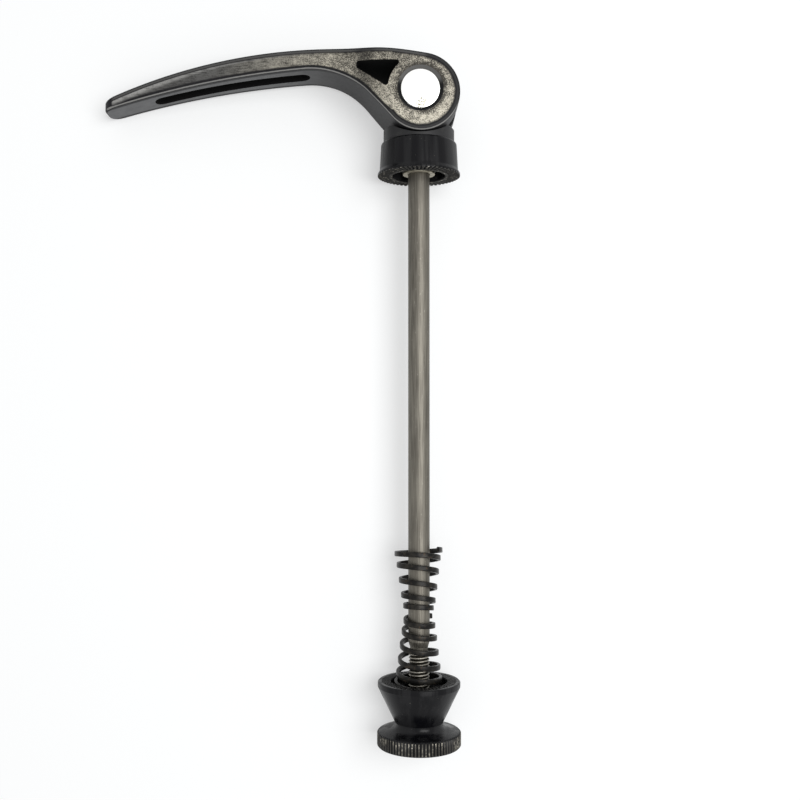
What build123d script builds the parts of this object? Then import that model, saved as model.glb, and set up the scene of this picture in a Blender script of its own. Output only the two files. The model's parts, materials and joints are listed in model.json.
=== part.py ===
from build123d import *
import math
import os

# Quick release skewer for a bicycle wheel, in millimetres.
# The rod lies along Y, +Y towards the lever, and the origin is on its axis at the cup's clamp face.
# +Z is up: the skewer lies on its cup, on the thumb disc of its nut and on the tip of the closed lever.

# Rod and the barrel that it screws into
rod_diameter = 5.0
rod_end_chamfer = 0.4
clamp_gap = 117.4
pivot_height = 17.9
shank_end = 108.2
shank_cone_length = 1.3
thread_diameter = 4.8
thread_relief_diameter = 4.2
thread_relief_length = 1.0
rod_end_inset = 1.0
barrel_diameter = 9.1
barrel_recess = 0.3
barrel_chamfer = 0.2

# Lever, in its own plane: x along the rest of the arm, y along the rod, from the pivot
lever_reach = 72.6
head_width = 18.0
arm_width = 12.2
tip_width = 8.8
arm_flare_start = 4.0
arm_flare_end = 21.0
tip_corner = 3.0
cam_radius = 8.8
cam_throw = 0.7
cam_throw_angle = -75.0
spine_radius = 126.0
spine_crest = 19.9
under_radius = 209.0
under_crest = 8.7
under_height = 6.0
heel_angle = 222.0
armpit_radius = 18.0
edge_round = 0.5
edge_share = 0.4
bore_chamfer = 0.6
fork_clearance = 0.4
window_top_left = (-14.5, 6.7)
window_top_right = (-3.0, 6.3)
window_bottom = (-5.0, -1.5)
window_left = (-14.5, 5.2)
window_corner = 0.6
boss_wall = 2.8
groove_start = 25.4
groove_end = 61.4
groove_width = 4.4
groove_depth = 2.2
groove_corner = 2.0

# Saddle between the cam cheeks and the cup
saddle_diameter = 16.5
saddle_horn = 3.1
saddle_edge = 0.3
seat_radius = 10.0
cam_clearance = 0.15
spigot_diameter = 11.4
spigot_length = 3.0

# Cup and its washer
rim_diameter = 19.2
cup_height = 7.6
cup_top_diameter = 17.6
cup_skirt_diameter = 18.3
cup_skirt_height = 1.3
rim_height = 0.5
cup_corner = 0.6
pocket_depth = 3.2
spring_groove_depth = 3.0
spring_groove_diameter = 12.4
hub_diameter = 8.0
washer_diameter = 7.5
washer_thickness = 0.8
washer_inset = 0.4

# Teeth on both clamp faces and the knurl on the thumb disc
tooth_count = 56
tooth_width = 0.5
tooth_depth = 0.35
cup_tooth_start = 6.9
nut_tooth_end = 8.2
knurl_count = 78
knurl_depth = 0.28
knurl_width = 0.6
knurl_land = 0.15

# Nut and its lock ring
nut_length = 14.9
nut_rim_height = 1.2
nut_edge = 0.25
nut_recess_diameter = 13.2
nut_recess_depth = 2.0
cone_length = 9.4
waist_diameter = 11.3
neck_round = 1.3
neck_end = 11.1
disc_diameter = 19.5
disc_top = 11.9
disc_shoulder = 0.35
disc_edge = 0.3
lock_ring_diameter = 8.0
lock_ring_length = 2.4

# Conical strip springs: the angle from +X towards +Z at which each one's wide end starts,
# and how far each hangs down on the rod from its narrow end
strip_height = 1.2
strip_thickness = 0.7
spring_wide_diameter = 11.6
spring_narrow_diameter = 6.9
nut_spring_length = 17.0
nut_spring_turns = 5.2
nut_spring_start = 90.0
nut_spring_sag = 2.5
lever_spring_length = 14.6
lever_spring_turns = 4.6
lever_spring_start = 38.0
lever_spring_sag = 8.5
spring_gap = 0.9

# Fits: radial clearances, and the slack between flat faces that turn on each other
running_clearance = 0.05
guide_clearance = 0.07
face_clearance = 0.05

# How far cutters start outside the metal, and how nearly equal two lengths are when they are the same
cut_over = 0.05
past = 5.0
same_length = 0.001

# Sizes that follow from those above
rod_radius = rod_diameter / 2
guide_radius = rod_radius + guide_clearance
barrel_radius = barrel_diameter / 2
rim_radius = rim_diameter / 2
nut_bore_radius = thread_diameter / 2 + running_clearance
nut_end = clamp_gap + nut_length
rod_top = pivot_height + math.sqrt(barrel_radius**2 - rod_radius**2)
tooth_pitch_angle = 360 / tooth_count

# The closed lever rolls about the rod until a corner of its tip lies as low as the thumb disc
taper = (arm_width - tip_width) / 2 / (lever_reach - arm_flare_end)
tip_x = lever_reach - tip_corner
tip_z = tip_width / 2 + taper * tip_corner - tip_corner * math.hypot(1, taper)
rest_radius = max(rim_radius, disc_diameter / 2)
roll = math.asin((rest_radius - tip_corner) / math.hypot(tip_x, tip_z)) - math.atan2(tip_z, tip_x)
across = (math.cos(roll), 0, math.sin(roll))
lever_plane = Plane((0, pivot_height, 0), x_dir=across, z_dir=(-math.sin(roll), 0, math.cos(roll)))
plan_plane = Plane((0, pivot_height, 0), x_dir=across, z_dir=(0, -1, 0))


def rod_plane(height):
    """The plane across the rod at a height along it, facing the lever."""
    return Plane((0, height, 0), x_dir=(1, 0, 0), z_dir=(0, 1, 0))


def tooth_planes(height, start, into):
    """One plane for each tooth groove, facing outwards, with its y axis into the clamp face."""
    planes = []
    for index in range(tooth_count):
        angle = math.radians(index * tooth_pitch_angle)
        outwards = Vector(math.cos(angle), 0, math.sin(angle))
        origin = outwards * start + Vector(0, height, 0)
        planes.append(Plane(origin, x_dir=Vector(0, into, 0).cross(outwards), z_dir=outwards))
    return planes


def vee_points(width, depth):
    """The section of a V groove, with y into the metal."""
    half = width / 2 * (1 + cut_over / depth)
    return (-half, -cut_over), (half, -cut_over), (0, depth)


def point_on(centre, radius, angle):
    """The point of a circle at an angle in degrees."""
    turn = math.radians(angle)
    return (centre[0] + radius * math.cos(turn), centre[1] + radius * math.sin(turn))


def height_on(centre, radius, x):
    """The upper point of a circle at x."""
    return (x, centre[1] + math.sqrt(radius**2 - (x - centre[0]) ** 2))


# Skewer rod: plain shank, a cone down to the thread's relief, then the threaded end
with BuildPart() as skewer_rod:
    with BuildSketch(Plane.XY):
        with BuildLine():
            thread_start = -shank_end - shank_cone_length - thread_relief_length
            rod_end = -nut_end + rod_end_inset
            Polyline(
                (0, rod_top),
                (rod_radius - rod_end_chamfer, rod_top),
                (rod_radius, rod_top - rod_end_chamfer),
                (rod_radius, -shank_end),
                (thread_relief_diameter / 2, -shank_end - shank_cone_length),
                (thread_relief_diameter / 2, thread_start),
                (thread_diameter / 2, thread_start - rod_end_chamfer),
                (thread_diameter / 2, rod_end + rod_end_chamfer),
                (thread_diameter / 2 - rod_end_chamfer, rod_end),
                (0, rod_end),
                close=True,
            )
        make_face()
    revolve(axis=Axis.Y)
skewer_rod.part.label = "skewer_rod"

# Pivot barrel: a cross pin through the fork, drilled for the rod
with BuildPart() as pivot_barrel:
    with BuildSketch(lever_plane):
        Circle(barrel_radius)
    extrude(amount=head_width / 2 - barrel_recess, both=True)
    chamfer(pivot_barrel.faces().filter_by(GeomType.PLANE).edges(), barrel_chamfer)
    with BuildSketch(rod_plane(pivot_height)):
        Circle(rod_radius)
    extrude(amount=barrel_diameter, both=True, mode=Mode.SUBTRACT)
pivot_barrel.part.label = "pivot_barrel"

# The lever's outline: spine arc, cam arc, straight heel and the arc under the arm
cam_centre = point_on((0, 0), cam_throw, cam_throw_angle)
spine_drop = math.sqrt((spine_radius - cam_radius) ** 2 - (cam_centre[0] + spine_crest) ** 2)
spine_centre = (-spine_crest, cam_centre[1] - spine_drop)
spine_angle = math.degrees(math.atan2(spine_drop, cam_centre[0] + spine_crest))
spine_end = point_on(spine_centre, spine_radius, spine_angle)
under_centre = (-under_crest, under_height - under_radius)
outline_end = -lever_reach - edge_round
spine_start = height_on(spine_centre, spine_radius, outline_end)
spine_middle = height_on(spine_centre, spine_radius, -lever_reach / 2)
under_end = height_on(under_centre, under_radius, outline_end)
heel_foot = Vector(*point_on(cam_centre, cam_radius, heel_angle))
heel_up = Vector(*point_on((0, 0), 1, heel_angle - 90))
heel_arm = heel_foot - Vector(*under_centre)
heel_rise = math.sqrt(heel_arm.dot(heel_up) ** 2 - heel_arm.dot(heel_arm) + under_radius**2)
armpit = heel_foot + heel_up * (heel_rise - heel_arm.dot(heel_up))
under_middle = height_on(under_centre, under_radius, (armpit.X + outline_end) / 2)

# Groove cutter: follows the underside of the arm at an even depth
with BuildPart() as groove:
    with BuildSketch(lever_plane):
        with BuildLine():
            floor_radius = under_radius + groove_depth
            mouth_radius = under_radius - groove_depth
            floor_left = height_on(under_centre, floor_radius, -groove_end)
            floor_right = height_on(under_centre, floor_radius, -groove_start)
            mouth_left = height_on(under_centre, mouth_radius, -groove_end)
            mouth_right = height_on(under_centre, mouth_radius, -groove_start)
            groove_mid = -(groove_start + groove_end) / 2
            ThreePointArc(floor_left, height_on(under_centre, floor_radius, groove_mid), floor_right)
            Line(floor_right, mouth_right)
            ThreePointArc(mouth_right, height_on(under_centre, mouth_radius, groove_mid), mouth_left)
            Line(mouth_left, floor_left)
        make_face()
    extrude(amount=groove_width / 2, both=True)
    fillet(groove.edges().filter_by(Axis.Y), groove_corner)


def lever_edge_shows(edge):
    """True for a real corner of the lever, false for a seam between two faces that run on smoothly."""
    if edge.geom_type != GeomType.LINE:
        return True
    along_arm_end = abs(edge.tangent_at(0.5).dot(lever_plane.z_dir)) > 0.999
    return along_arm_end and lever_plane.to_local_coords(edge.center()).X < -tip_x


# Lever: the outline cut to the plan of the arm, rounded, then slotted, bored and pierced
with BuildPart() as lever:
    with BuildSketch(lever_plane) as outline:
        with BuildLine():
            ThreePointArc(spine_start, spine_middle, spine_end)
            ThreePointArc(spine_end, point_on(cam_centre, cam_radius, -30), tuple(heel_foot))
            Line(tuple(heel_foot), tuple(armpit))
            ThreePointArc(tuple(armpit), under_middle, under_end)
            Line(under_end, spine_start)
        make_face()
        fillet(outline.vertices().sort_by_distance(armpit)[0], armpit_radius)
    extrude(amount=head_width / 2, both=True)
    with BuildSketch(plan_plane.offset(-lever_reach)) as plan:
        with BuildLine():
            flare_middle = -(arm_flare_start + arm_flare_end) / 2
            head_end = cam_radius + past
            flare_width = arm_width / 2 + taper * (arm_flare_end + flare_middle)
            Line((-lever_reach, 0), (-lever_reach, tip_width / 2))
            Line((-lever_reach, tip_width / 2), (-arm_flare_end, arm_width / 2))
            Bezier(
                (-arm_flare_end, arm_width / 2),
                (flare_middle, flare_width),
                (flare_middle, head_width / 2),
                (-arm_flare_start, head_width / 2),
            )
            Line((-arm_flare_start, head_width / 2), (head_end, head_width / 2))
            Line((head_end, head_width / 2), (head_end, 0))
            mirror(about=Plane.XZ)
        make_face()
        fillet(plan.vertices().group_by(Axis.X)[0], tip_corner)
    extrude(amount=2 * lever_reach, mode=Mode.INTERSECT)
    corners = lever.edges().filter_by(lever_edge_shows)
    tip_thickness = height_on(spine_centre, spine_radius, -lever_reach)[1]
    tip_thickness -= height_on(under_centre, under_radius, -lever_reach)[1]
    fillet(corners, min(edge_round, edge_share * tip_thickness))
    with BuildSketch(plan_plane):
        fork_half = rod_radius + fork_clearance
        Circle(fork_half)
        with Locations((head_end / 2, 0)):
            Rectangle(head_end, 2 * fork_half)
    extrude(amount=lever_reach, both=True, mode=Mode.SUBTRACT)
    with BuildSketch(lever_plane):
        Circle(barrel_radius + running_clearance)
    extrude(amount=head_width, both=True, mode=Mode.SUBTRACT)
    mouths = [
        edge
        for edge in lever.edges().filter_by(GeomType.CIRCLE)
        if abs(edge.radius - barrel_radius - running_clearance) < same_length
        and abs(lever_plane.to_local_coords(edge.arc_center).Z) > head_width / 2 - same_length
    ]
    chamfer(mouths, bore_chamfer)
    with BuildSketch(lever_plane) as window:
        Polygon(window_top_left, window_top_right, window_bottom, window_left, align=None)
        Circle(barrel_radius + boss_wall, mode=Mode.SUBTRACT)
        fillet(window.vertices(), window_corner)
    extrude(amount=head_width, both=True, mode=Mode.SUBTRACT)
    add(groove.part, mode=Mode.SUBTRACT)
lever.part.label = "lever"

# Cam saddle: a round plastic seat with a trough for the cams and a spigot into the cup
with BuildPart() as cam_saddle:
    saddle_base = cup_height + face_clearance
    with BuildSketch(rod_plane(saddle_base)):
        Circle(saddle_diameter / 2)
    extrude(amount=saddle_horn)
    chamfer(cam_saddle.faces().sort_by(Axis.Y)[-1].edges(), saddle_edge)
    with BuildSketch(rod_plane(saddle_base)):
        Circle(spigot_diameter / 2)
    extrude(amount=-spigot_length)
    with BuildSketch(lever_plane):
        seat_drop = cam_radius + cam_throw + cam_clearance - seat_radius
        with Locations((0, -seat_drop)):
            Circle(seat_radius)
    extrude(amount=saddle_diameter, both=True, mode=Mode.SUBTRACT)
    with BuildSketch(rod_plane(saddle_base)):
        Circle(guide_radius)
    extrude(amount=saddle_diameter, both=True, mode=Mode.SUBTRACT)
cam_saddle.part.label = "cam_saddle"

# Clamp cup: turned cup with a pocket for the saddle, a spring groove and a toothed clamp face
with BuildPart() as clamp_cup:
    hub_face = washer_inset + washer_thickness
    with BuildSketch(Plane.XY) as cup_section:
        with BuildLine():
            Polyline(
                (guide_radius, hub_face),
                (hub_diameter / 2, hub_face),
                (hub_diameter / 2, spring_groove_depth),
                (spring_groove_diameter / 2, spring_groove_depth),
                (spring_groove_diameter / 2, 0),
                (rim_radius, 0),
                (rim_radius, rim_height),
                (cup_skirt_diameter / 2, cup_skirt_height),
                (cup_top_diameter / 2, cup_height),
                (spigot_diameter / 2 + guide_clearance, cup_height),
                (spigot_diameter / 2 + guide_clearance, cup_height - pocket_depth),
                (guide_radius, cup_height - pocket_depth),
                close=True,
            )
        make_face()
        top_corner = cup_section.vertices().sort_by_distance((cup_top_diameter / 2, cup_height))[0]
        fillet(top_corner, cup_corner)
    revolve(axis=Axis.Y)
    with BuildSketch(*tooth_planes(0, cup_tooth_start, 1)):
        Polygon(*vee_points(tooth_width, tooth_depth), align=None)
    extrude(amount=rim_radius, mode=Mode.SUBTRACT)
clamp_cup.part.label = "clamp_cup"

# Washer on the hub of the cup
with BuildPart() as cup_washer:
    with BuildSketch(rod_plane(washer_inset)):
        Circle(washer_diameter / 2)
        Circle(guide_radius, mode=Mode.SUBTRACT)
    extrude(amount=washer_thickness)
cup_washer.part.label = "cup_washer"

# Adjusting nut: toothed clamp face, cone, waist and knurled thumb disc, turned in one piece
with BuildPart() as adjusting_nut:
    with BuildSketch(Plane.XY):
        with BuildLine():
            lock_start = nut_end - lock_ring_length
            neck_top = (waist_diameter / 2, -clamp_gap - neck_end + neck_round)
            neck_foot = (waist_diameter / 2 + neck_round, -clamp_gap - neck_end)
            Polyline(
                neck_top,
                (waist_diameter / 2, -clamp_gap - cone_length),
                (rim_radius, -clamp_gap - nut_rim_height),
                (rim_radius, -clamp_gap - nut_edge),
                (rim_radius - nut_edge, -clamp_gap),
                (nut_recess_diameter / 2, -clamp_gap),
                (nut_recess_diameter / 2, -clamp_gap - nut_recess_depth),
                (nut_bore_radius, -clamp_gap - nut_recess_depth),
                (nut_bore_radius, -lock_start),
                (lock_ring_diameter / 2, -lock_start),
                (lock_ring_diameter / 2, -nut_end),
                (disc_diameter / 2 - disc_edge, -nut_end),
                (disc_diameter / 2, -nut_end + disc_edge),
                (disc_diameter / 2, -clamp_gap - disc_top),
                (disc_diameter / 2 - disc_shoulder, -clamp_gap - disc_top + disc_shoulder),
                neck_foot,
            )
            TangentArc(neck_top, neck_foot, tangent=(0, -1))
        make_face()
    revolve(axis=Axis.Y)
    nut_tooth_start = nut_recess_diameter / 2 - cut_over
    with BuildSketch(*tooth_planes(-clamp_gap, nut_tooth_start, -1)):
        Polygon(*vee_points(tooth_width, tooth_depth), align=None)
    extrude(amount=nut_tooth_end - nut_tooth_start, mode=Mode.SUBTRACT)
    with BuildSketch(rod_plane(-nut_end)):
        with PolarLocations(disc_diameter / 2, knurl_count):
            Polygon(*vee_points(knurl_width, knurl_depth), rotation=90, align=None)
    extrude(amount=nut_length - disc_top - knurl_land, mode=Mode.SUBTRACT)
adjusting_nut.part.label = "adjusting_nut"

# Lock ring: nylon ring pressed into the outer end of the nut
with BuildPart() as nut_lock_ring:
    with BuildSketch(rod_plane(-nut_end)):
        Circle(lock_ring_diameter / 2)
        Circle(nut_bore_radius, mode=Mode.SUBTRACT)
    extrude(amount=lock_ring_length)
nut_lock_ring.part.label = "nut_lock_ring"


def wind_spring(wide_end, direction, length, turns, start_angle, sag):
    """A left-handed conical strip spring wound from its wide end along the rod, hanging at its wide end."""
    wide = (spring_wide_diameter - strip_thickness) / 2
    narrow = (spring_narrow_diameter - strip_thickness) / 2
    rise = length - strip_height
    start = (0, wide_end + direction * strip_height / 2, 0)
    with BuildPart() as spring:
        with BuildLine() as coil:
            Helix(
                pitch=rise / turns,
                height=rise,
                radius=wide,
                center=start,
                direction=(0, direction, 0),
                cone_angle=math.degrees(math.atan2(narrow - wide, rise)),
                lefthand=True,
            )
        path = coil.wires()[0]
        outwards = path.position_at(0) - Vector(*start)
        with BuildSketch(Plane(path.position_at(0), x_dir=outwards, z_dir=path.tangent_at(0))):
            Rectangle(strip_thickness, strip_height)
        sweep(path=path, is_frenet=True)
    narrow_end = (0, wide_end + direction * (length - strip_height / 2), 0)
    begun = spring.part.rotate(Axis.Y, direction * 90 - start_angle)
    return begun.rotate(Axis(narrow_end, (1, 0, 0)), direction * sag)


# Springs: the nut's stands in the nut's recess, and the lever's meets it narrow end to narrow end
recess_floor = -clamp_gap - nut_recess_depth
foot_lift = spring_wide_diameter / 2 * math.sin(math.radians(nut_spring_sag))
nut_spring_foot = recess_floor + face_clearance + foot_lift
nut_spring = wind_spring(
    nut_spring_foot, 1, nut_spring_length, nut_spring_turns, nut_spring_start, nut_spring_sag
)
nut_spring.label = "nut_spring"
lever_spring_top = nut_spring_foot + nut_spring_length + spring_gap + lever_spring_length
lever_spring = wind_spring(
    lever_spring_top, -1, lever_spring_length, lever_spring_turns, lever_spring_start, lever_spring_sag
)
lever_spring.label = "lever_spring"

os.makedirs("parts", exist_ok=True)
for piece in (
    skewer_rod.part,
    pivot_barrel.part,
    lever.part,
    cam_saddle.part,
    clamp_cup.part,
    cup_washer.part,
    adjusting_nut.part,
    nut_lock_ring.part,
    nut_spring,
    lever_spring,
):
    export_step(piece, f"parts/{piece.label}.step")
    print(piece.label, round(piece.volume, 1))
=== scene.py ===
import json
import math

import bmesh
import bpy
from mathutils import Matrix, Vector


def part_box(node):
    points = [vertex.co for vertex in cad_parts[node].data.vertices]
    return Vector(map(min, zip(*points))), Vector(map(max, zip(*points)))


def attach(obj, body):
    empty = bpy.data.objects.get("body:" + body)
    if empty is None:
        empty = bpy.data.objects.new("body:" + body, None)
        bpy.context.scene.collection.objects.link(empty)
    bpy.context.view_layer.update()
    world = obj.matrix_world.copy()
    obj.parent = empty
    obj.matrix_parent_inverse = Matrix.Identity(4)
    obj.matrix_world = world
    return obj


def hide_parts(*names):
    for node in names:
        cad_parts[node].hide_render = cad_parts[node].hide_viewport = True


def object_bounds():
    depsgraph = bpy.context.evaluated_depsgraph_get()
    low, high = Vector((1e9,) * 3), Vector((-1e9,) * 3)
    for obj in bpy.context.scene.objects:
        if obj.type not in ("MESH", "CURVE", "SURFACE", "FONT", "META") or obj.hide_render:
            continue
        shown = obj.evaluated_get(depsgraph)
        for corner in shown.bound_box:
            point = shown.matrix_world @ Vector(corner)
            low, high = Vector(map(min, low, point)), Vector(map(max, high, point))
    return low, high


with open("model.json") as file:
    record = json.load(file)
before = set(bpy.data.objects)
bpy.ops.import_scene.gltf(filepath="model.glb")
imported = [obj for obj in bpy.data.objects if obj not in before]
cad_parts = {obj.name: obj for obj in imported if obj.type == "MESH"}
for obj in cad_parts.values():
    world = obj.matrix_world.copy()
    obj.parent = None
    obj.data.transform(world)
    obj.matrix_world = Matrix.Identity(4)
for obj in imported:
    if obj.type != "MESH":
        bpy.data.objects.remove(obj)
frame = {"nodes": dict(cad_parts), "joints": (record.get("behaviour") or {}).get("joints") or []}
cad_low, cad_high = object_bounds()
mm = 0.001


# Skewer rod: 5 mm drawn steel, ground to a cone at its lower end, where the rolled M5 thread starts.
# The shank and the thread's core are turned in one outline, and the thread's ridge winds round the core.
# The drawing leaves fine lines along the rod, and years of use leave dull patches and scratches.

def rounded(corners, steps=4):
    """An outline through (radius, height, rounding) corners, with each rounding made an arc."""
    outline = []
    for index, (x, y, rounding) in enumerate(corners):
        here = Vector((x, y))
        if rounding == 0:
            outline.append(here)
            continue
        back = (Vector(corners[index - 1][:2]) - here).normalized()
        ahead = (Vector(corners[(index + 1) % len(corners)][:2]) - here).normalized()
        half = back.angle(ahead) / 2
        centre = here + (back + ahead).normalized() * rounding / math.sin(half)
        start = here + back * rounding / math.tan(half) - centre
        end = here + ahead * rounding / math.tan(half) - centre
        first = math.atan2(start.y, start.x)
        turn = math.remainder(math.atan2(end.y, end.x) - first, math.tau)
        for step in range(steps + 1):
            angle = first + turn * step / steps
            outline.append(centre + rounding * Vector((math.cos(angle), math.sin(angle))))
    return outline


def turned(outline, segments, closed):
    """A mesh turned about the rod's axis. A closed outline makes a ring, and an open one ends on the axis."""
    mesh = bmesh.new()
    rings = []
    for point in outline:
        if point[0] < 1e-9:
            rings.append([mesh.verts.new((0, point[1], 0))] * segments)
            continue
        ring = []
        for index in range(segments):
            angle = math.tau * index / segments
            ring.append(mesh.verts.new((point[0] * math.cos(angle), point[1], point[0] * math.sin(angle))))
        rings.append(ring)
    pairs = list(zip(rings, rings[1:]))
    if closed:
        pairs.append((rings[-1], rings[0]))
    for lower, upper in pairs:
        for index in range(segments):
            after = (index + 1) % segments
            corners = [lower[index], lower[after], upper[after], upper[index]]
            mesh.faces.new(list(dict.fromkeys(corners)))
    bmesh.ops.recalc_face_normals(mesh, faces=mesh.faces)
    return mesh


def shaped(name, mesh, sharp_angle=40):
    """An object made from a bmesh, smooth except at edges sharper than an angle in degrees."""
    for face in mesh.faces:
        face.smooth = True
    for edge in mesh.edges:
        edge.smooth = edge.calc_face_angle(0) < math.radians(sharp_angle)
    data = bpy.data.meshes.new(name)
    mesh.to_mesh(data)
    mesh.free()
    piece = bpy.data.objects.new(name, data)
    bpy.context.scene.collection.objects.link(piece)
    return piece


def set_inputs(piece, tree, values):
    """Adds a geometry tree to a piece and sets the tree's named inputs."""
    modifier = piece.modifiers.new(tree.name, "NODES")
    modifier.node_group = tree
    for item in tree.interface.items_tree:
        if item.in_out == "INPUT" and item.name in values:
            modifier[item.identifier] = values[item.name]


def settle(piece):
    """Turns a piece's modifiers into its plain mesh."""
    graph = bpy.context.evaluated_depsgraph_get()
    graph.update()
    made = bpy.data.meshes.new_from_object(piece.evaluated_get(graph))
    piece.modifiers.clear()
    piece.data = made
    piece.data.name = piece.name


class GeometryTree:
    """A geometry tree under construction: its inputs by name, and one way to add a node."""

    def __init__(self, name, inputs):
        self.tree = bpy.data.node_groups.new(name, "GeometryNodeTree")
        self.tree.interface.new_socket("Geometry", in_out="INPUT", socket_type="NodeSocketGeometry")
        self.tree.interface.new_socket("Geometry", in_out="OUTPUT", socket_type="NodeSocketGeometry")
        for label, kind in inputs.items():
            self.tree.interface.new_socket(label, in_out="INPUT", socket_type="NodeSocket" + kind)
        self.source = self.tree.nodes.new("NodeGroupInput").outputs

    def add(self, kind, settings, sockets):
        """A node with its settings and the values or links of its sockets."""
        node = self.tree.nodes.new(kind)
        for key, value in settings.items():
            setattr(node, key, value)
        for key, value in sockets.items():
            if isinstance(value, bpy.types.NodeSocket):
                self.tree.links.new(value, node.inputs[key])
            else:
                node.inputs[key].default_value = value
        return node.outputs

    def close(self, geometry):
        """Ends the tree in real geometry with the piece's finish."""
        real = self.add("GeometryNodeRealizeInstances", {}, {"Geometry": geometry})
        done = self.add(
            "GeometryNodeSetMaterial", {}, {"Geometry": real["Geometry"], "Material": self.source["Finish"]}
        )
        self.tree.links.new(done["Geometry"], self.tree.nodes.new("NodeGroupOutput").inputs["Geometry"])
        return self.tree


def coil_tree(name, reverse):
    """Winds a trapezoid bar round the axis along +Z, between two radii, beside what the piece already has.
    Closing is 0 for an even pitch and 1 for ends that lie flat."""
    numbers = ("Turns", "Start Radius", "End Radius", "Rise", "Closing", "Foot", "Crest", "Depth", "Rounding")
    inputs = {label: "Float" for label in numbers}
    inputs.update({"Tilt": "Rotation", "Place": "Vector", "Finish": "Material"})
    build = GeometryTree(name, inputs)
    source = build.source
    spiral = build.add(
        "GeometryNodeCurveSpiral",
        {},
        {
            "Resolution": 96,
            "Rotations": source["Turns"],
            "Start Radius": source["Start Radius"],
            "End Radius": source["End Radius"],
            "Height": source["Rise"],
            "Reverse": reverse,
        },
    )
    place = build.add("GeometryNodeInputPosition", {}, {})
    even = build.add("ShaderNodeSeparateXYZ", {}, {"Vector": place["Position"]})["Z"]
    eased = build.add(
        "ShaderNodeMapRange",
        {"interpolation_type": "SMOOTHSTEP"},
        {"Value": even, "From Max": source["Rise"], "To Max": source["Rise"]},
    )
    gap = build.add("ShaderNodeMath", {"operation": "SUBTRACT"}, {0: eased["Result"], 1: even})
    lift = build.add("ShaderNodeMath", {"operation": "MULTIPLY"}, {0: gap["Value"], 1: source["Closing"]})
    shift = build.add("ShaderNodeCombineXYZ", {}, {"Z": lift["Value"]})
    spaced = build.add(
        "GeometryNodeSetPosition", {}, {"Geometry": spiral["Curve"], "Offset": shift["Vector"]}
    )
    upright = build.add("GeometryNodeSetCurveNormal", {"mode": "Z_UP"}, {"Curve": spaced["Geometry"]})
    section = build.add(
        "GeometryNodeCurvePrimitiveQuadrilateral",
        {"mode": "TRAPEZOID"},
        {
            "Height": source["Depth"],
            "Bottom Width": source["Foot"],
            "Top Width": source["Crest"],
            "Offset": 0.0,
        },
    )
    softened = build.add(
        "GeometryNodeFilletCurve",
        {"mode": "POLY"},
        {"Curve": section["Curve"], "Count": 3, "Radius": source["Rounding"], "Limit Radius": True},
    )
    outwards = build.add(
        "GeometryNodeTransform", {}, {"Geometry": softened["Curve"], "Rotation": (0, 0, -math.pi / 2)}
    )
    bar = build.add(
        "GeometryNodeCurveToMesh",
        {},
        {"Curve": upright["Curve"], "Profile Curve": outwards["Geometry"], "Fill Caps": True},
    )
    placed = build.add(
        "GeometryNodeTransform",
        {},
        {"Geometry": bar["Mesh"], "Rotation": source["Tilt"], "Translation": source["Place"]},
    )
    joined = build.add("GeometryNodeJoinGeometry", {}, {})
    build.tree.links.new(source["Geometry"], joined["Geometry"].node.inputs["Geometry"])
    build.tree.links.new(placed["Geometry"], joined["Geometry"].node.inputs["Geometry"])
    return build.close(joined["Geometry"])


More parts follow.
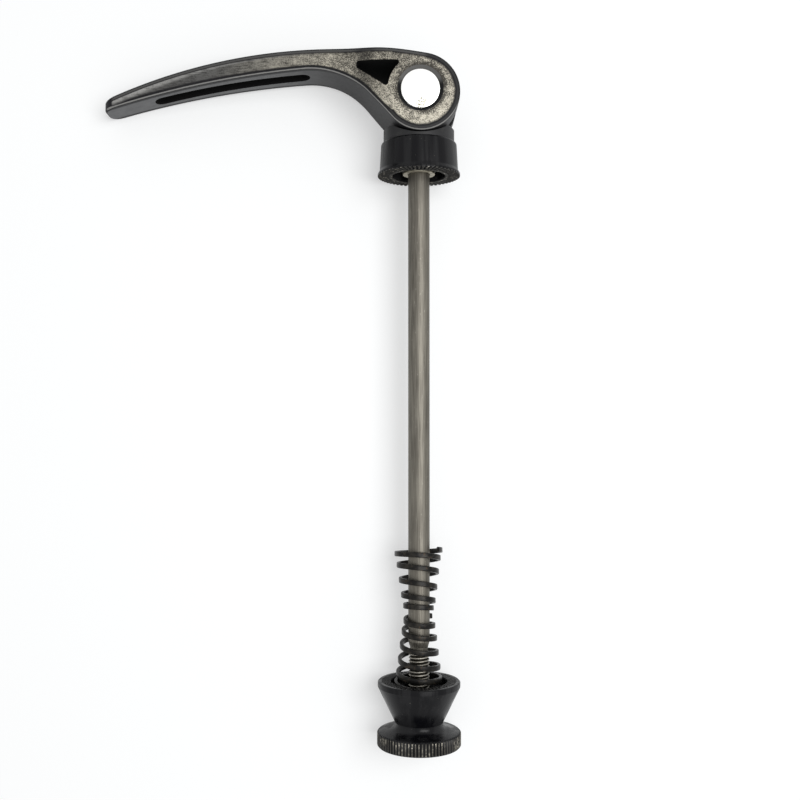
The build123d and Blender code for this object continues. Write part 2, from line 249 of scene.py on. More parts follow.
class Wire:
    """A socket in a finish. Arithmetic on it adds Math nodes, and add() makes any other node."""

    def __init__(self, tree, socket):
        self.tree = tree
        self.socket = socket

    def add(self, kind, settings, sockets, output=0):
        """A node with its settings, then the values or links of its sockets, as a wire from one output."""
        node = self.tree.nodes.new(kind)
        for key, value in settings.items():
            setattr(node, key, value)
        feed(node, sockets)
        return Wire(self.tree, node.outputs[output])

    def math(self, operation, *others):
        """A Math node on this wire and other wires or numbers."""
        return self.add("ShaderNodeMath", {"operation": operation}, dict(enumerate((self, *others))))

    def __add__(self, other):
        return self.math("ADD", other)

    def __sub__(self, other):
        return self.math("SUBTRACT", other)

    def __rsub__(self, other):
        return (self * -1).math("ADD", other)

    def __mul__(self, other):
        return self.math("MULTIPLY", other)

    __radd__ = __add__
    __rmul__ = __mul__

    def step(self, low, high):
        """A smooth step from 0 at low to 1 at high."""
        sockets = {"Value": self, "From Min": low, "From Max": high}
        return self.add("ShaderNodeMapRange", {"interpolation_type": "SMOOTHSTEP"}, sockets)

    def between(self, low, full, fading, high):
        """A step up from low to full, times a step down from fading to high."""
        return self.step(low, full) * (1 - self.step(fading, high))

    def near(self, level, full, gone):
        """1 within one distance of a level, and 0 past a larger distance."""
        return 1 - (self - level).math("ABSOLUTE").step(full, gone)

    def larger(self, other):
        """The larger of this wire and another."""
        return self.math("MAXIMUM", other)

    def noise(self, scale, detail=3.0, roughness=0.5, stretch=(1, 1, 1)):
        """Noise on a wire of points, finer with scale, stretched by unequal shares of it along the axes."""
        scales = [scale * share for share in stretch]
        place = self.add("ShaderNodeMapping", {}, {"Vector": self, "Scale": scales})
        sockets = {"Vector": place, "Scale": 1.0, "Detail": detail, "Roughness": roughness}
        return self.add("ShaderNodeTexNoise", {}, sockets)

    def mix_value(self, first, second):
        """The number between two numbers that this wire says."""
        return first + (second - first) * self

    def mix(self, first, second):
        """The colour between two colours that this wire says."""
        sockets = {"Factor": self, "A": first, "B": second}
        return self.add("ShaderNodeMix", {"data_type": "RGBA"}, sockets, output=2)

    def bump(self, strength, distance):
        """A normal from this wire as a height."""
        return self.add("ShaderNodeBump", {}, {"Height": self, "Strength": strength, "Distance": distance})

    def along(self, direction):
        """How far a wire of vectors points along a direction."""
        sockets = {0: self, 1: direction}
        return self.add("ShaderNodeVectorMath", {"operation": "DOT_PRODUCT"}, sockets, output="Value")

    def reach(self, place):
        """How far a wire of points is from a place."""
        sockets = {0: self, 1: place}
        return self.add("ShaderNodeVectorMath", {"operation": "DISTANCE"}, sockets, output="Value")

    def from_rod(self):
        """How far a wire of points is from the rod's axis."""
        aside = self.along((1, 0, 0))
        above = self.along((0, 0, 1))
        return (aside * aside + above * above).math("SQRT")


def feed(node, sockets):
    """Sets or links a node's sockets. A mix's colours have their own sockets, after those for numbers."""
    for key, value in sockets.items():
        if node.bl_idname == "ShaderNodeMix" and key in ("A", "B"):
            socket = [each for each in node.inputs if each.name == key and each.type == "RGBA"][0]
        else:
            socket = node.inputs[key]
        if isinstance(value, Wire):
            node.id_data.links.new(value.socket, socket)
        elif socket.type == "RGBA":
            socket.default_value = (*value, 1)
        else:
            socket.default_value = value


def new_finish(name):
    """A material, its shader, and a wire of the points of the piece it is on."""
    material = bpy.data.materials.new(name)
    material.use_nodes = True
    tree = material.node_tree
    spots = tree.nodes.new("ShaderNodeTexCoord")
    return material, tree.nodes["Principled BSDF"], Wire(tree, spots.outputs["Object"])


def assemble(piece, finish, body, node):
    """Gives a piece its finish, hangs it on the body that it moves with, and hides the solid that it stands
    for.
    """
    piece.data.materials.clear()
    piece.data.materials.append(finish)
    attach(piece, body)
    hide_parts(node)


drawn_steel, shader, points = new_finish("drawn_steel")
draw_lines = points.noise(3800, detail=4, stretch=(1, 0.035, 1))
dull_patches = points.noise(260, detail=3, stretch=(1, 0.35, 1))
nicks = points.noise(2600, detail=2, stretch=(1, 0.3, 1)).step(0.66, 0.74)
tone = draw_lines * 0.6 + dull_patches * 0.4
steel_colour = tone.step(0.32, 0.68).mix((0.095, 0.088, 0.075), (0.19, 0.178, 0.152))
scratched_colour = (nicks * 0.5).mix(steel_colour, (0.3, 0.285, 0.25))
thread_radius = 2.4 * mm
thread_core_radius = 2.05 * mm
thread_start = -110.4 * mm
blend = 0.1 * mm
core_skin = thread_core_radius - 0.05 * mm
from_axis = points.from_rod()
below_cone = 1 - points.along((0, 1, 0)).step(thread_start - blend, thread_start)
on_thread = below_cone * from_axis.step(core_skin - blend, core_skin)
# Painted highlight on the thread's crests and painted shade in its roots: they are lighter and darker than
# the steel.
crest = from_axis.step(thread_core_radius + blend, thread_radius)
thread_shade_and_highlight = crest.mix((0.02, 0.018, 0.014), (0.42, 0.4, 0.35))
feed(
    shader,
    {
        "Base Color": on_thread.mix(scratched_colour, thread_shade_and_highlight),
        "Metallic": 1.0,
        "Roughness": 0.42 + 0.2 * dull_patches,
        "Normal": (draw_lines - nicks * 0.6).bump(0.25, 0.05 * mm),
    },
)

rod_low, rod_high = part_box("skewer_rod")
rod_radius = rod_high.x
relief_radius = 2.1 * mm
thread_pitch = 0.8 * mm
shank_end = -108.2 * mm
cone_end = -109.5 * mm
shank_round = 0.15 * mm
relief_round = 0.2 * mm
relief_step = 0.05 * mm
rod_end_chamfer = 0.4 * mm
rod_end_round = 0.1 * mm
rod_outline = rounded(
    [
        (0, rod_high.y, 0),
        (rod_radius - rod_end_chamfer, rod_high.y, rod_end_round),
        (rod_radius, rod_high.y - rod_end_chamfer, rod_end_round),
        (rod_radius, shank_end, shank_round),
        (relief_radius, cone_end, relief_round),
        (relief_radius, thread_start, 0),
        (thread_core_radius, thread_start - relief_step, 0),
        (thread_core_radius, rod_low.y + rod_end_chamfer, rod_end_round),
        (thread_core_radius - rod_end_chamfer, rod_low.y, rod_end_round),
        (0, rod_low.y, 0),
    ]
)
plain_segments = 96
thread_foot = 0.78 * mm
thread_crest = 0.14 * mm
thread_round = 0.03 * mm
ridge_sink = 0.1 * mm
thread_rise = thread_start - rod_low.y - thread_pitch
thread_depth = thread_radius - thread_core_radius + ridge_sink
thread_foot_place = rod_low.y + thread_pitch * 0.6
skewer_rod = shaped("rod", turned(rod_outline, plain_segments, closed=False))
set_inputs(
    skewer_rod,
    coil_tree("right_hand_coil", reverse=True),
    {
        "Turns": thread_rise / thread_pitch,
        "Start Radius": thread_radius - thread_depth / 2,
        "End Radius": thread_radius - thread_depth / 2,
        "Rise": thread_rise,
        "Foot": thread_foot,
        "Crest": thread_crest,
        "Depth": thread_depth,
        "Rounding": thread_round,
        "Tilt": (-math.pi / 2, 0, 0),
        "Place": (0, thread_foot_place, 0),
        "Finish": drawn_steel,
    },
)
settle(skewer_rod)
assemble(skewer_rod, drawn_steel, "rod", "skewer_rod")


# Pivot barrel: the bright cross pin that the lever turns on, turned from steel, with the rod fixed in it.
# Its ends stay a little below the faces of the fork, so each sits in a dark ring.
# Plating keeps it mirror bright apart from a few brown specks on the upper end.

plated_steel, shader, points = new_finish("plated_steel")
hinge = frame["joints"][0]
pivot = Vector(hinge["pos_m"])
pin_axis = -Vector(hinge["axis"])
barrel_radius = 4.55 * mm
barrel_half = 8.7 * mm
stain_place = (-0.4 * mm, pivot.y - 3.4 * mm, barrel_half)
stained = 1 - points.reach(stain_place).step(0.9 * mm, 1.9 * mm)
stain = stained * points.noise(3000, detail=2).step(0.45, 0.56)
feed(
    shader,
    {
        "Base Color": stain.mix((0.93, 0.93, 0.91), (0.13, 0.12, 0.06)),
        "Metallic": 1.0,
        "Roughness": 0.16 + 0.1 * points.noise(900),
    },
)

barrel_chamfer = 0.2 * mm
barrel_round = 0.1 * mm
barrel_outline = rounded(
    [
        (0, -barrel_half, 0),
        (barrel_radius - barrel_chamfer, -barrel_half, barrel_round),
        (barrel_radius, -barrel_half + barrel_chamfer, barrel_round),
        (barrel_radius, barrel_half - barrel_chamfer, barrel_round),
        (barrel_radius - barrel_chamfer, barrel_half, barrel_round),
        (0, barrel_half, 0),
    ]
)
barrel_mesh = turned(barrel_outline, plain_segments, closed=False)
stand_up = Vector((0, 1, 0)).rotation_difference(pin_axis).to_matrix().to_4x4()
bmesh.ops.transform(barrel_mesh, matrix=Matrix.Translation(pivot) @ stand_up, verts=barrel_mesh.verts)
pivot_barrel = shaped("barrel", barrel_mesh)
assemble(pivot_barrel, plated_steel, "rod", "pivot_barrel")


# Lever: forged aluminium, one piece, with a fork of two cam cheeks round the barrel and a long curved arm.
# It was anodised black. The two flat sides are worn to speckled bare metal, most round the pivot,
# and the rolled edges are still glossy black. The inner face of the arm is satin.

worn_black, shader, points = new_finish("worn_black")
normals = points.add("ShaderNodeTexCoord", {}, {}, output="Normal")
arm_axis = Vector((pin_axis.z, 0, -pin_axis.x))
along = points.along(tuple(arm_axis))
outward = points.along((0, 1, 0)) - pivot.y
across = points.along(tuple(pin_axis)).math("ABSOLUTE")
spine_radius = 126 * mm
spine_centre = Vector((-19.9, -116.14)) * mm
under_radius = 209 * mm
under_centre = Vector((-8.7, -203)) * mm
cam_radius = 8.8 * mm
cam_centre = Vector((0.18, -0.68)) * mm
heel_normal = Vector((0.743, 0.669))
heel_reach = 9.12 * mm
armpit_radius = 18 * mm
armpit_centre = Vector((-25.05, -12.7)) * mm


def reach_from(centre):
    """How far a point of the lever's outline plane is from a centre."""
    side = along - centre.x
    rise = outward - centre.y
    return (side * side + rise * rise).math("SQRT")


facing_out = normals.along(tuple(pin_axis)).math("ABSOLUTE")
facing_in = normals.along((0, -1, 0))
off_middle = across.step(3 * mm, 3.5 * mm)
flat_side = facing_out.step(0.93, 0.985) * off_middle
on_cam = along.step(0.5 * mm, 2 * mm).larger(1 - outward.step(-5 * mm, -3.5 * mm))
cam_margin = cam_radius - reach_from(cam_centre)
from_spine = on_cam.mix_value(spine_radius - reach_from(spine_centre), cam_margin)
heel_margin = along * heel_normal.x + outward * heel_normal.y + heel_reach
armpit_margin = reach_from(armpit_centre) - armpit_radius
under_margin = reach_from(under_centre) - under_radius
up_heel = outward * heel_normal.x - along * heel_normal.y
from_armpit = along.step(-27.5 * mm, -25.7 * mm).mix_value(under_margin, armpit_margin)
from_heel = up_heel.step(6.5 * mm, 8 * mm).mix_value(heel_margin, from_armpit)
from_inside = on_cam.mix_value(from_heel, cam_margin)
from_pivot = points.reach(tuple(pivot))
along_arm = from_pivot.step(17 * mm, 50 * mm)
brushing = from_pivot.step(16 * mm, 40 * mm)
near_tip = from_pivot.step(40 * mm, 64 * mm)

# Wear on the flat sides: speckle round the pivot, which turns to streaks along the arm.
grit = points.noise(3900, detail=3, roughness=0.65)
brushed = points.noise(4200, detail=3, roughness=0.6, stretch=(0.06, 1, 1))
cloud = points.noise(420, detail=3)
spine_margin = (from_spine + cloud * (0.4 * mm) - on_cam * (0.2 * mm)).step(1.05 * mm, 1.7 * mm)
worn = flat_side * spine_margin * from_inside.step(0.65 * mm, 1.1 * mm)
from_hole = reach_from(Vector((0, 0))).step(4.8 * mm, 6.6 * mm)
wear_patches = points.noise(760, detail=3)
speckle = (grit * 0.74 + wear_patches * 0.26 + from_hole * 0.14 - outward * 5).step(0.52, 0.77)
streak = (brushed * 0.45 + cloud * 0.25 + grit * 0.3).step(0.34, 0.62)
bare = worn * brushing.mix_value(speckle, streak)
bare_colour = along_arm.mix((0.48, 0.45, 0.375), (0.1, 0.099, 0.096))
dust = points.noise(1400, detail=5).step(0.4, 0.75)
black_colour = dust.mix((0.003, 0.003, 0.004), (0.009, 0.009, 0.01))
rubbed_black = along_arm.mix((0.045, 0.041, 0.034), (0.018, 0.0175, 0.0165))
face_colour = bare.mix(worn.mix(black_colour, rubbed_black), bare_colour)

# Painted highlights: light lines painted along the spine, beside the worn face, and on the rounding towards
# the inner face, where the glossy edges would catch the light.
spine_band = from_spine.between(0.25 * mm, 0.4 * mm, 0.75 * mm, 0.95 * mm)
spine_highlight = spine_band * on_cam.mix_value(0.14, 0.04)
face_line_start = 1.15 * mm
face_line_end = near_tip * (0.9 * mm) + 1.5 * mm
face_line = from_spine.between(0.95 * mm, face_line_start, face_line_start, face_line_end)
face_highlight = face_line * along_arm * near_tip.mix_value(0.3, 0.6) * streak.mix_value(0.5, 1.2)
on_rounding = facing_out.between(0.4, 0.55, 0.85, 0.95) * facing_in.step(0.1, 0.4)
inner_highlight = on_rounding * off_middle * 0.5
edge_highlight = (flat_side * (spine_highlight + face_highlight)).larger(inner_highlight)
highlighted_colour = edge_highlight.mix(face_colour, (0.42, 0.415, 0.4))

# Satin inner face of the arm, which narrows from the head to the tip.
arm_root = -21 * mm
arm_root_half = 6.1 * mm
arm_taper = 0.033
head_side = -4 * mm
head_half = 9 * mm
head_taper = 0.17
arm_half = arm_root_half + (along - arm_root) * arm_taper
flare_half = head_half + (along - head_side) * head_taper
from_edge = arm_half.larger(flare_half) - across
facing_across = 1 - facing_out.step(0.08, 0.2)
inner_face = facing_across * facing_in.step(0.4, 0.7) * from_edge.step(1.1 * mm, 1.7 * mm)
satin = inner_face * (1 - along.step(-36 * mm, -12 * mm))
satin_grey = cloud.step(0.3, 0.7).mix((0.066, 0.067, 0.07), (0.088, 0.089, 0.092))
satin_colour = satin.mix(highlighted_colour, satin_grey)

# Painted shade: the groove in the inner face and the window are painted near black and made rough, as the
# shade inside them.
groove_half = 2.3 * mm
groove_end = -23 * mm
groove_depth = 2.4 * mm
window_slope = Vector((0.577, 0.817))
window_low = -4.9 * mm
window_end = -15.2 * mm
window_roof = 1.6 * mm
in_slot_width = 1 - across.step(groove_half, groove_half + 0.1 * mm)
in_slot_length = 1 - along.step(groove_end - 1 * mm, groove_end)
in_slot_depth = under_margin.between(0.03 * mm, 0.1 * mm, groove_depth, groove_depth + 0.3 * mm)
in_groove = in_slot_depth * in_slot_width * in_slot_length
past_heel = along * window_slope.x + outward * window_slope.y
above_heel = past_heel.step(window_low, window_low + 0.3 * mm)
behind_boss = above_heel * along.step(window_end, window_end + 0.3 * mm)
below_spine = from_spine.step(window_roof, window_roof + 0.4 * mm)
in_window = behind_boss * below_spine * (1 - facing_out.step(0.5, 0.9))
hollow_shade = in_groove.larger(in_window)
feed(
    shader,
    {
        "Base Color": hollow_shade.mix(satin_colour, (0.003, 0.003, 0.003)),
        "Metallic": 0.8 * bare,
        "Roughness": 0.46 - 0.15 * satin + 0.06 * dust + 0.45 * hollow_shade,
        "Specular IOR Level": 0.16,
        "Normal": (grit * worn * (1 - brushing * 0.6)).bump(0.35, 0.06 * mm),
    },
)


def copied(node, merge=0.001 * mm):
    """A solid's surface with its loose triangles merged, without the normals that it came with."""
    data = frame["nodes"][node].data.copy()
    data.attributes.remove(data.attributes["custom_normal"])
    mesh = bmesh.new()
    mesh.from_mesh(data)
    bmesh.ops.remove_doubles(mesh, verts=mesh.verts, dist=merge)
    return mesh


def evened(piece):
    """Lets a piece's large faces set its shading, so that the roundings beside them don't shade them."""
    weighted = piece.modifiers.new("large_faces", "WEIGHTED_NORMAL")
    weighted.keep_sharp = True
    settle(piece)
    return piece


lever = evened(shaped("cam_lever", copied("lever"), sharp_angle=30))
assemble(lever, worn_black, "lever", "lever")


# Cam saddle: a moulded plastic seat between the cam cheeks and the cup, with two horns beside the cams.
# It slides on the rod and presses the cup against the frame. It is matte black and a little dusty.

moulded_plastic, shader, points = new_finish("moulded_plastic")
moulding = points.noise(5200, detail=2)
scuff = points.noise(700, detail=4).step(0.5, 0.72)
feed(
    shader,
    {
        "Base Color": scuff.mix((0.012, 0.012, 0.013), (0.026, 0.026, 0.025)),
        "Roughness": 0.48 + 0.15 * scuff,
        "Specular IOR Level": 0.3,
        "Normal": moulding.bump(0.12, 0.04 * mm),
    },
)
cam_saddle = evened(shaped("saddle", copied("cam_saddle"), sharp_angle=30))
assemble(cam_saddle, moulded_plastic, "saddle", "cam_saddle")


# Clamp cup: turned aluminium, glossy black, that clamps one side of the frame with a ring of radial teeth.
# The teeth are ridges on a ring cut back by their depth. The rim is flared and the upper corner rounded.
# Bare metal shows in chips, on the knurl of the nut, which has the same finish, and on the teeth.

turned_black, shader, points = new_finish("turned_black")
cup_low, cup_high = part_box("clamp_cup")
nut_low, nut_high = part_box("adjusting_nut")
nut_face = nut_high.y
chips = points.noise(1900, detail=3, roughness=0.6).step(0.7, 0.76)
turning = points.noise(3000, detail=2, stretch=(0.02, 1, 0.02))
# Streaks along the axis: partly rub marks from handling and partly painted reflection streaks, in the black
# and in its roughness.
handling_and_reflection_streaks = points.noise(430, detail=3, stretch=(1, 0.03, 1)).step(0.4, 0.62)
rubbed_patches = points.noise(330, detail=3).step(0.42, 0.62)
height = points.along((0, 1, 0))
from_axis = points.from_rod()
disc_radius = nut_high.x
nut_tooth_end = 8.7 * mm
rubbed = rubbed_patches * points.noise(1800, detail=3).step(0.4, 0.6)
on_knurl = from_axis.step(disc_radius - 0.13 * mm, disc_radius - 0.01 * mm)
knurl_wear = on_knurl * rubbed.mix_value(0.16, 1)
cup_crest = height.near(cup_low.y, 0.04 * mm, 0.1 * mm)
nut_crest = height.near(nut_face, 0.04 * mm, 0.1 * mm)
on_nut_teeth = nut_crest * (1 - from_axis.step(nut_tooth_end, nut_tooth_end + 0.1 * mm))
glints = points.noise(1500, detail=2).step(0.57, 0.68)
tooth_crest = (cup_crest * glints.mix_value(0.05, 0.5)).larger(on_nut_teeth * 0.02)
near_cup_face = height.near(cup_low.y, 0.36 * mm, 0.45 * mm)
on_cup_teeth = near_cup_face * (1 - from_axis.step(9.4 * mm, 9.5 * mm))
worn_off = (chips * 0.35).larger(knurl_wear * 0.75).larger(tooth_crest)
gloss_black = handling_and_reflection_streaks.mix((0.003, 0.003, 0.004), (0.012, 0.012, 0.013))
feed(
    shader,
    {
        "Base Color": worn_off.mix(gloss_black, (0.48, 0.45, 0.375)),
        "Metallic": worn_off,
        "Roughness": 0.22 + 0.2 * handling_and_reflection_streaks + 0.4 * on_cup_teeth,
        "Specular IOR Level": 0.14,
        "Normal": (turning * 0.5 - chips).bump(0.08, 0.03 * mm),
    },
)


def ridge_tree(name):
    """Copies of one ridge all round the rod's axis, beside what the piece already has."""
    build = GeometryTree(name, {"Ridge": "Object", "Count": "Int", "Finish": "Material"})
    source = build.source
    spots = build.add("GeometryNodePoints", {}, {"Count": source["Count"]})
    ridge = build.add("GeometryNodeObjectInfo", {}, {"Object": source["Ridge"]})
    index = build.add("GeometryNodeInputIndex", {}, {})
    share = build.add("ShaderNodeMath", {"operation": "DIVIDE"}, {0: index["Index"], 1: source["Count"]})
    angle = build.add("ShaderNodeMath", {"operation": "MULTIPLY"}, {0: share["Value"], 1: math.tau})
    turn = build.add("ShaderNodeCombineXYZ", {}, {"Y": angle["Value"]})
    ring = build.add(
        "GeometryNodeInstanceOnPoints",
        {},
        {"Points": spots["Points"], "Instance": ridge["Geometry"], "Rotation": turn["Vector"]},
    )
    joined = build.add("GeometryNodeJoinGeometry", {}, {})
    build.tree.links.new(source["Geometry"], joined["Geometry"].node.inputs["Geometry"])
    build.tree.links.new(ring["Instances"], joined["Geometry"].node.inputs["Geometry"])
    return build.close(joined["Geometry"])


def ridge_bar(sections):
    """A bar through roof-shaped sections: each is a place, and directions to its side and its crest,
    with the half widths of its foot and crest and its height."""
    mesh = bmesh.new()
    shoulder = 0.86
    flat_share = 0.6
    rings = []
    for place, side, rise, foot, crest, tall in sections:
        flat = crest * flat_share
        roof = ((-foot, 0), (-crest, shoulder), (-flat, 1), (flat, 1), (crest, shoulder), (foot, 0))
        ring = []
        for offset, up in roof:
            ring.append(mesh.verts.new(place + side * offset + rise * (tall * up)))
        rings.append(ring)
    for near, far in zip(rings, rings[1:]):
        for index in range(len(near)):
            after = (index + 1) % len(near)
            mesh.faces.new((near[index], near[after], far[after], far[index]))
    mesh.faces.new(rings[0])
    mesh.faces.new(rings[-1])
    bmesh.ops.recalc_face_normals(mesh, faces=mesh.faces)
    return mesh


def tooth(start, end, face, into, count, groove):
    """One radial tooth of a clamp face, from the cut-back ring up to the face."""
    sections = []
    for radius in (start, end):
        foot = math.pi * radius / count
        place = Vector((radius, face + into * tooth_depth, 0))
        side = Vector((0, 0, 1))
        rise = Vector((0, -into, 0))
        sections.append((place, side, rise, foot, foot - groove / 2, tooth_depth))
    return shaped("tooth", ridge_bar(sections), sharp_angle=75)


def add_ridges(piece, ridge, count, finish):
    """Sets a ring of ridges on a piece and takes the pattern ridge away."""
    set_inputs(piece, ridges, {"Ridge": ridge, "Count": count, "Finish": finish})
    settle(piece)
    bpy.data.objects.remove(ridge)


ridges = ridge_tree("ridges_round_the_rod")
tooth_count = 56
tooth_depth = 0.35 * mm
tooth_groove = 0.5 * mm
rim_radius = cup_high.x
cup_tooth_start = 6.9 * mm
cup_bore_radius = 2.57 * mm
hub_radius = 4.0 * mm
hub_face = 1.2 * mm
spring_groove_radius = 6.2 * mm
spring_groove_depth = 3.0 * mm
pocket_radius = 5.77 * mm
pocket_floor = 4.4 * mm
rim_height = 0.5 * mm
rim_round = 0.06 * mm
flare_radius = 9.15 * mm
flare_height = 1.3 * mm
flare_round = 0.8 * mm
cup_top_radius = 8.8 * mm
cup_top_round = 0.6 * mm
toothed_segments = 192
fine = 0.08 * mm
cup_outline = rounded(
    [
        (cup_bore_radius, hub_face, fine),
        (hub_radius, hub_face, fine),
        (hub_radius, spring_groove_depth, fine),
        (spring_groove_radius, spring_groove_depth, fine),
        (spring_groove_radius, cup_low.y, fine),
        (cup_tooth_start, cup_low.y, 0),
        (cup_tooth_start, cup_low.y + tooth_depth, 0),
        (rim_radius - fine, cup_low.y + tooth_depth, 0),
        (rim_radius, cup_low.y + rim_height, rim_round),
        (flare_radius, flare_height, flare_round),
        (cup_top_radius, cup_high.y, cup_top_round),
        (pocket_radius, cup_high.y, fine),
        (pocket_radius, pocket_floor, fine),
        (cup_bore_radius, pocket_floor, fine),
    ]
)
clamp_cup = shaped("cup", turned(cup_outline, toothed_segments, closed=True))
cup_tooth = tooth(cup_tooth_start, rim_radius, cup_low.y, 1, tooth_count, tooth_groove)
add_ridges(clamp_cup, cup_tooth, tooth_count, turned_black)
assemble(clamp_cup, turned_black, "cup", "clamp_cup")


# Cup washer: a thin stamped ring of bare steel round the rod, which lies on the hub in the mouth of the cup.
# It has gone dull and yellowish.

dull_steel, shader, points = new_finish("dull_steel")
tarnish = points.noise(900, detail=4)
feed(
    shader,
    {
        "Base Color": tarnish.step(0.35, 0.65).mix((0.22, 0.2, 0.15), (0.42, 0.39, 0.31)),
        "Metallic": 0.8,
        "Roughness": 0.35 + 0.2 * tarnish,
    },
)
washer_low, washer_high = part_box("cup_washer")
washer_edge = 0.12 * mm
washer_outline = rounded(
    [
        (cup_bore_radius, washer_low.y, washer_edge),
        (washer_high.x, washer_low.y, washer_edge),
        (washer_high.x, washer_high.y, washer_edge),
        (cup_bore_radius, washer_high.y, washer_edge),
    ]
)
cup_washer = shaped("washer", turned(washer_outline, plain_segments, closed=True))
assemble(cup_washer, dull_steel, "cup", "cup_washer")


# Springs: two left-handed cones of flat steel strip that centre the wheel on the rod, narrow ends together.
# The lower one stands in the nut's recess, and the upper one hangs from its narrow end.
# They are blackened, with brown where the blacking is thin and a few specks of rust.

blackened_steel, shader, points = new_finish("blackened_steel")
thin_blacking = points.noise(800, detail=4)
rust = points.noise(1600, detail=4).step(0.6, 0.72)
blacking = thin_blacking.step(0.4, 0.7).mix((0.007, 0.0068, 0.0065), (0.024, 0.022, 0.0185))
feed(
    shader,
    {
        "Base Color": (rust * 0.35).mix(blacking, (0.1, 0.055, 0.028)),
        "Metallic": 0.55,
        "Roughness": 0.34 + 0.25 * rust,
        "Specular IOR Level": 0.25,
        "Normal": points.noise(2400, detail=3).bump(0.1, 0.05 * mm),
    },
)

left_hand_coil = coil_tree("left_hand_coil", reverse=False)
strip_height = 1.2 * mm
strip_thickness = 0.7 * mm
strip_round = 0.16 * mm
spring_wide_radius = 5.8 * mm
spring_narrow_radius = 3.45 * mm


def wind(name, node, wide_end, direction, length, turns, closing, start, sag):
    """A strip spring from its wide end along the rod, begun at an angle in degrees from +X towards +Z,
    and hanging at its wide end by another angle."""
    spring = shaped(name, bmesh.new())
    set_inputs(
        spring,
        left_hand_coil,
        {
            "Turns": turns,
            "Start Radius": spring_wide_radius - strip_thickness / 2,
            "End Radius": spring_narrow_radius - strip_thickness / 2,
            "Rise": length - strip_height,
            "Closing": closing,
            "Foot": strip_height,
            "Crest": strip_height,
            "Depth": strip_thickness,
            "Rounding": strip_round,
            "Tilt": (-direction * math.pi / 2, -math.radians(start), 0),
            "Place": (0, wide_end + direction * strip_height / 2, 0),
            "Finish": blackened_steel,
        },
    )
    settle(spring)
    narrow_end = Vector((0, wide_end + direction * (length - strip_height / 2), 0))
    hang = Matrix.Rotation(direction * math.radians(sag), 4, "X")
    spring.data.transform(Matrix.Translation(narrow_end) @ hang @ Matrix.Translation(-narrow_end))
    spring.data.polygons.foreach_set("use_smooth", [True] * len(spring.data.polygons))
    spring.data.set_sharp_from_angle(angle=math.radians(50))
    assemble(spring, blackened_steel, node, node)


recess_floor = nut_face - 2 * mm
nut_spring_length = 17 * mm
nut_spring_sag = 2.5
foot_room = 0.05 * mm + spring_wide_radius * math.sin(math.radians(nut_spring_sag))
nut_spring_foot = recess_floor + foot_room
lever_spring_length = 14.6 * mm
lever_spring_sag = 8.5
spring_gap = 0.9 * mm
lever_spring_top = nut_spring_foot + nut_spring_length + spring_gap + lever_spring_length
wind(
    "nut_side_spring",
    "nut_spring",
    wide_end=nut_spring_foot,
    direction=1,
    length=nut_spring_length,
    turns=5.7,
    closing=0.5,
    start=90,
    sag=nut_spring_sag,
)
wind(
    "lever_side_spring",
    "lever_spring",
    wide_end=lever_spring_top,
    direction=-1,
    length=lever_spring_length,
    turns=5.1,
    closing=0.75,
    start=38,
    sag=lever_spring_sag,
)


# Adjusting nut: turned aluminium in the same glossy black, screwed on the rod's thread.
# From the clamp face down it has a ring of teeth, a cone, a waist and a thumb disc with a straight knurl.

nut_tooth_start = 6.6 * mm
nut_bore_radius = 2.45 * mm
nut_rim_height = 1.2 * mm
nut_rim_chamfer = 0.25 * mm
nut_rim_round = 0.1 * mm
cone_round = 0.2 * mm
waist_radius = 5.65 * mm
waist_top = nut_face - 9.4 * mm
waist_round = 0.15 * mm
neck_corner = nut_face - 10.86 * mm
neck_round = 1.3 * mm
disc_top = nut_face - 11.9 * mm
disc_shoulder = 0.34 * mm
disc_shoulder_round = 0.3 * mm
disc_chamfer = 0.1 * mm
disc_chamfer_height = 0.3 * mm
knurl_count = 78
knurl_depth = 0.28 * mm
knurl_groove = 0.6 * mm
lock_ring_radius = 4 * mm
lock_ring_low, lock_ring_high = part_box("nut_lock_ring")
disc_core_radius = disc_radius - knurl_depth
nut_outline = rounded(
    [
        (waist_radius, neck_corner, neck_round),
        (waist_radius, waist_top, waist_round),
        (rim_radius, nut_face - nut_rim_height, cone_round),
        (rim_radius, nut_face - nut_rim_chamfer, nut_rim_round),
        (rim_radius - nut_rim_chamfer, nut_face, nut_rim_round),
        (nut_tooth_end, nut_face, 0),
        (nut_tooth_end, nut_face - tooth_depth, 0),
        (nut_tooth_start, nut_face - tooth_depth, 0),
        (nut_tooth_start, recess_floor, fine),
        (nut_bore_radius, recess_floor, fine),
        (nut_bore_radius, lock_ring_high.y, 0),
        (lock_ring_radius, lock_ring_high.y, 0),
        (lock_ring_radius, nut_low.y, fine),
        (disc_core_radius - disc_chamfer, nut_low.y, disc_chamfer),
        (disc_core_radius, nut_low.y + disc_chamfer_height, fine),
        (disc_core_radius, disc_top + disc_shoulder, disc_shoulder_round),
    ],
    steps=6,
)
adjusting_nut = shaped("cone_nut", turned(nut_outline, toothed_segments, closed=True))
nut_tooth = tooth(nut_tooth_start, nut_tooth_end, nut_face, -1, tooth_count, tooth_groove)
add_ridges(adjusting_nut, nut_tooth, tooth_count, turned_black)
knurl_foot = math.pi * disc_radius / knurl_count
knurl_crest = knurl_foot - knurl_groove / 2
knurl_low = nut_low.y + 0.02 * mm
knurl_end_depth = knurl_depth * 0.05
knurl_depths = {
    knurl_low: knurl_end_depth,
    knurl_low + knurl_depth: knurl_depth,
    disc_top: knurl_depth,
    disc_top + knurl_depth: knurl_end_depth,
}
knurl_sections = []
for level, depth in knurl_depths.items():
    place = Vector((disc_core_radius, level, 0))
    knurl_sections.append((place, Vector((0, 0, 1)), Vector((1, 0, 0)), knurl_foot, knurl_crest, depth))
knurl_ridge = shaped("knurl_ridge", ridge_bar(knurl_sections), sharp_angle=75)
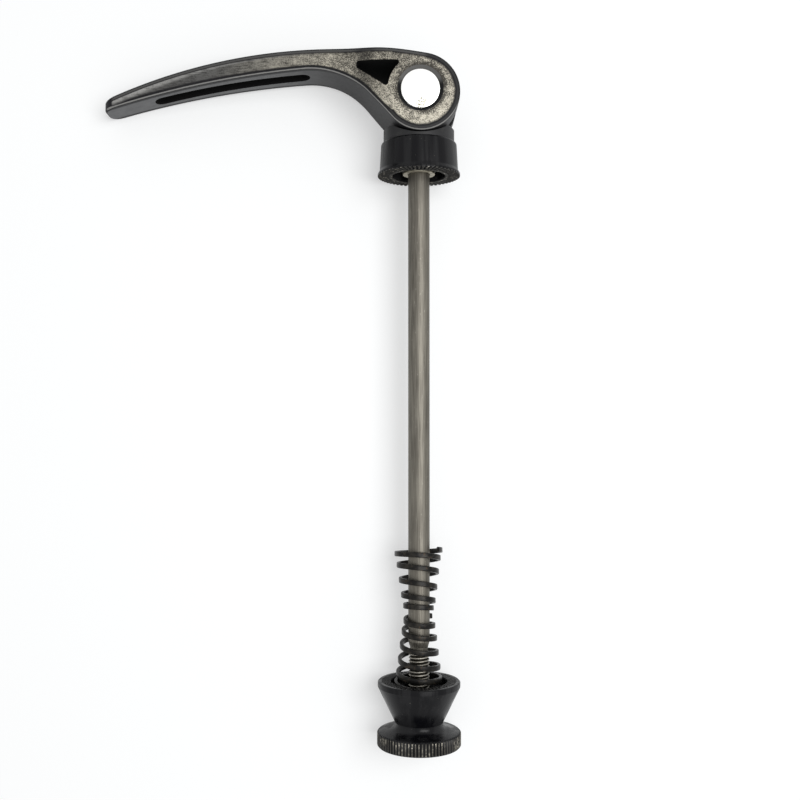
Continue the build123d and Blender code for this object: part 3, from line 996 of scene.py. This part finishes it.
add_ridges(adjusting_nut, knurl_ridge, knurl_count, turned_black)
assemble(adjusting_nut, turned_black, "nut", "adjusting_nut")


# Lock ring: a ring of natural nylon pressed into the outer end of the nut.
# It grips the thread and keeps the nut where it is set. Age has yellowed it in places.

natural_nylon, shader, points = new_finish("natural_nylon")
yellowing = points.noise(700, detail=3)
feed(
    shader,
    {
        "Base Color": yellowing.step(0.3, 0.7).mix((0.7, 0.68, 0.6), (0.8, 0.79, 0.74)),
        "Roughness": 0.4 + 0.15 * yellowing,
    },
)
ring_outline = rounded(
    [
        (nut_bore_radius, lock_ring_low.y, fine),
        (lock_ring_radius, lock_ring_low.y, fine),
        (lock_ring_radius, lock_ring_high.y, 0),
        (nut_bore_radius, lock_ring_high.y, 0),
    ]
)
nut_lock_ring = shaped("lock_ring", turned(ring_outline, plain_segments, closed=True))
assemble(nut_lock_ring, natural_nylon, "nut", "nut_lock_ring")


# Table: a plain white sheet under the skewer. It shows white where no shadow falls.
# The room round it is as white for the camera and in reflections, and gives half that light to the skewer.
# One large window above the right side throws the soft shadow.

white_sheet, shader, points = new_finish("white_sheet")
tree = white_sheet.node_tree
feed(shader, {"Base Color": (0.955, 0.97, 0.975), "Roughness": 0.9, "Specular IOR Level": 0.0})
glow = points.add("ShaderNodeEmission", {}, {"Color": (1, 1, 1), "Strength": 1.0})
glow_share = 0.45
seen = points.add("ShaderNodeLightPath", {}, {}, output="Is Camera Ray")
mirrored = points.add("ShaderNodeLightPath", {}, {}, output="Is Glossy Ray")
lit = Wire(tree, shader.outputs["BSDF"])
sheet = points.add("ShaderNodeMixShader", {}, {0: (seen + mirrored) * glow_share, 1: lit, 2: glow})
tree.links.new(sheet.socket, tree.nodes["Material Output"].inputs["Surface"])

table_half = 3.0
table_mesh = bmesh.new()
bmesh.ops.create_grid(table_mesh, x_segments=1, y_segments=1, size=table_half)
bmesh.ops.translate(table_mesh, verts=table_mesh.verts, vec=(0, 0, cad_low.z))
table = shaped("table", table_mesh)
table.data.materials.append(white_sheet)

world = bpy.data.worlds.new("white_room")
bpy.context.scene.world = world
world.use_nodes = True
tree = world.node_tree
room = Wire(tree, tree.nodes["Background"].outputs["Background"])
seen = room.add("ShaderNodeLightPath", {}, {}, output="Is Camera Ray")
mirrored = room.add("ShaderNodeLightPath", {}, {}, output="Is Glossy Ray")
through = room.add("ShaderNodeLightPath", {}, {}, output="Is Transmission Ray")
room_light = 0.5
shown = (seen + mirrored + through).math("MINIMUM", 1.0)
feed(tree.nodes["Background"], {"Color": (1, 1, 1), "Strength": shown.mix_value(room_light, 1)})

lamp = bpy.data.lights.new("window", "AREA")
lamp.shape = "SQUARE"
lamp.size = 0.4
lamp.energy = 2.6
window = bpy.data.objects.new("window", lamp)
window.location = (0.18, -0.02, 0.56)
window_aim = Vector((-0.004, -0.052, 0))
window.rotation_euler = (window_aim - window.location).to_track_quat("-Z", "Y").to_euler()
bpy.context.scene.collection.objects.link(window)


# Camera: nearly straight above the skewer and to the left of the rod, close enough to see both clamp faces.
# The shift puts the skewer in the middle of the frame.

camera_data = bpy.data.cameras.new("camera")
camera_data.sensor_width = 36.0
photo_width = 800
focal_pixels = 1009.7
camera_data.lens = camera_data.sensor_width * focal_pixels / photo_width
camera_data.shift_x = 0.02
camera_data.shift_y = 0.02
camera_data.clip_start = 0.01
camera = bpy.data.objects.new("camera", camera_data)
camera_place = Vector((-28.06, -58.24, 233.86)) * mm
camera_aim = Vector((-8.17, -55.91, 0)) * mm
look = (camera_aim - camera_place).normalized()
right = look.cross(Vector((0, 1, 0))).normalized()
facing = Matrix((right, right.cross(look), -look)).transposed().to_4x4()
camera.matrix_world = Matrix.Translation(camera_place) @ facing
bpy.context.scene.collection.objects.link(camera)
bpy.context.scene.camera = camera
bpy.context.scene.view_settings.view_transform = "Standard"
